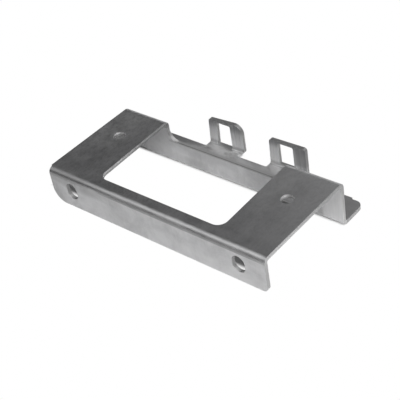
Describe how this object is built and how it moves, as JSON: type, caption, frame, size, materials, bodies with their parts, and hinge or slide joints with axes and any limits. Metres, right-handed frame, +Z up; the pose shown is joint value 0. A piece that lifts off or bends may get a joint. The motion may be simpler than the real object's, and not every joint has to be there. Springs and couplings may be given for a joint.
{
  "type": "radiator mounting bracket",
  "caption": "Folded steel bracket that holds a radiator: a windowed plate with bolt holes, a slotted front flange, and a rear ledge with upright window tabs.",
  "frame": {"origin": "below the middle of the part, on the plane of the ledge's underside", "axes": "+X along the bracket to the right, +Y to the rear where the tabs stand, +Z up out of the plate"},
  "size_m": [0.13, 0.0804, 0.0246],
  "materials": {
    "steel": "bare rolled sheet with a fine grain from front to rear"
  },
  "bodies": {
    "root": {"bracket": "steel"}
  },
  "joints": []
}
